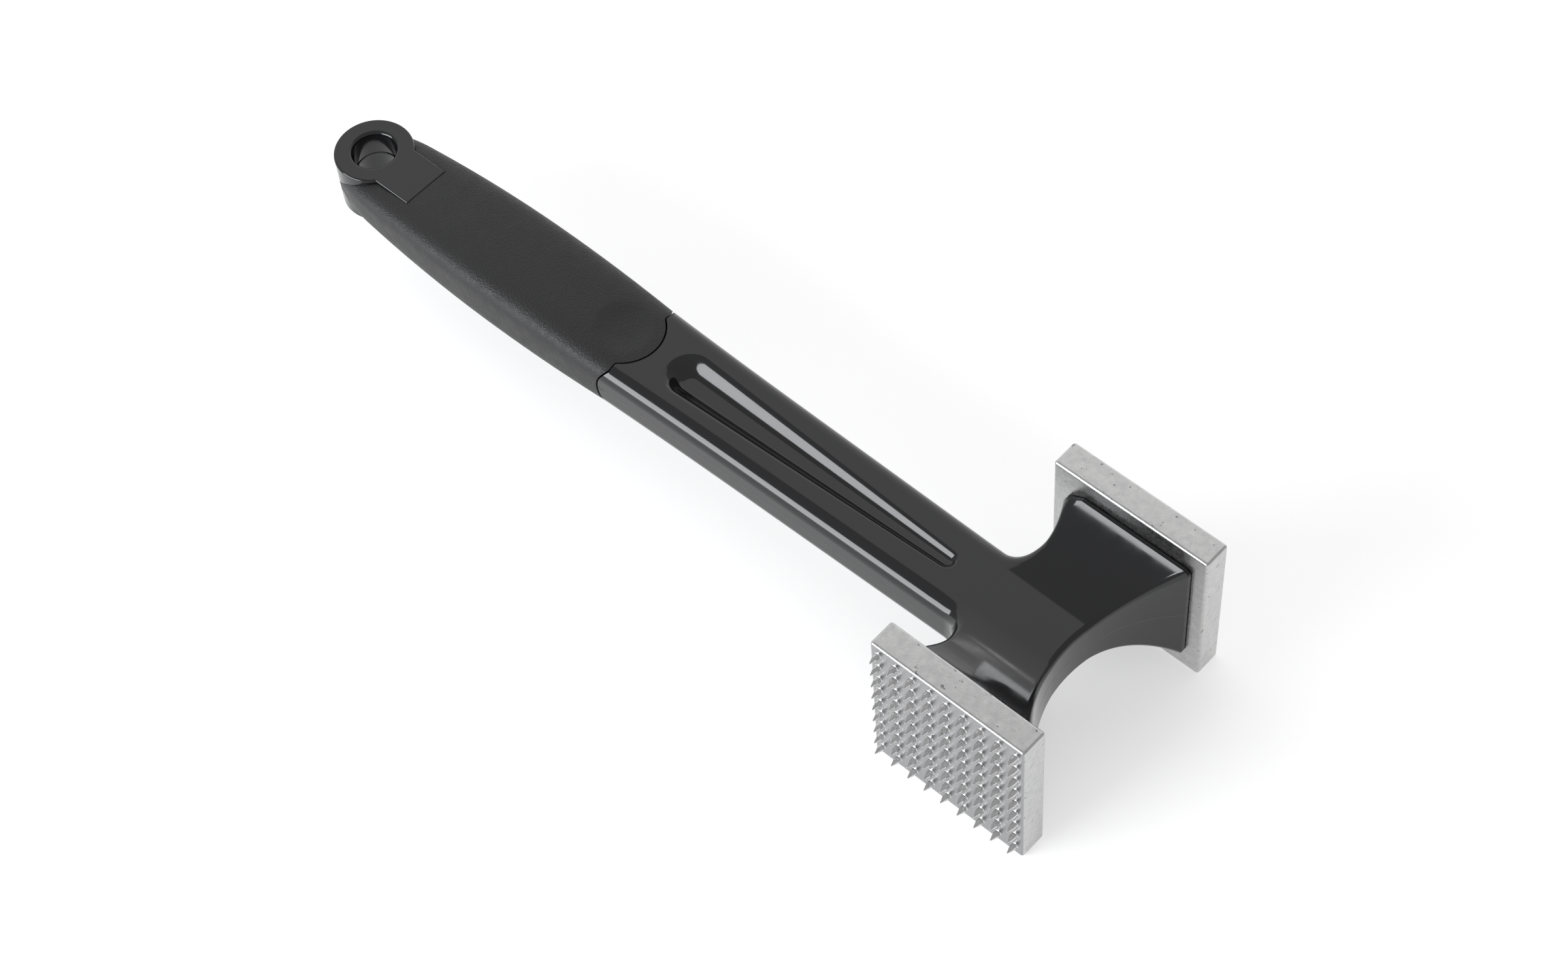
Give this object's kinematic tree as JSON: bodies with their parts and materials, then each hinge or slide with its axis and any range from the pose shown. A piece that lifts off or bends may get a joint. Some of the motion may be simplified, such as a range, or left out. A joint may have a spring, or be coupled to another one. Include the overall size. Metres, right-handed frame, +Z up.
{
  "type": "meat mallet",
  "caption": "Double-faced meat mallet: cast metal plates, one spiked and one smooth, on a waisted black head with a long pocketed neck, a moulded grip and a hanging eye.",
  "frame": {"origin": "under the middle of the bounding box, on the plane of the plates' lower edges", "axes": "+X along the handle from the hanging eye to the head, +Y from the spiked face to the smooth face along the striking axis, +Z up, square to the handle and to the striking axis"},
  "size_m": [0.3098, 0.09, 0.0564],
  "materials": {
    "cast_aluminium": "tumbled casting with a soft satin sheen and rounded edges",
    "steel": "plain turned steel",
    "black_nylon": "glossy moulded nylon",
    "grip_plastic": "matt with a fine leather-like grain"
  },
  "bodies": {
    "root": {"handle_core": "black_nylon", "handle_grip": "grip_plastic", "smooth_plate": "cast_aluminium", "spiked_plate": "cast_aluminium", "tie_stud": "steel"}
  },
  "joints": []
}
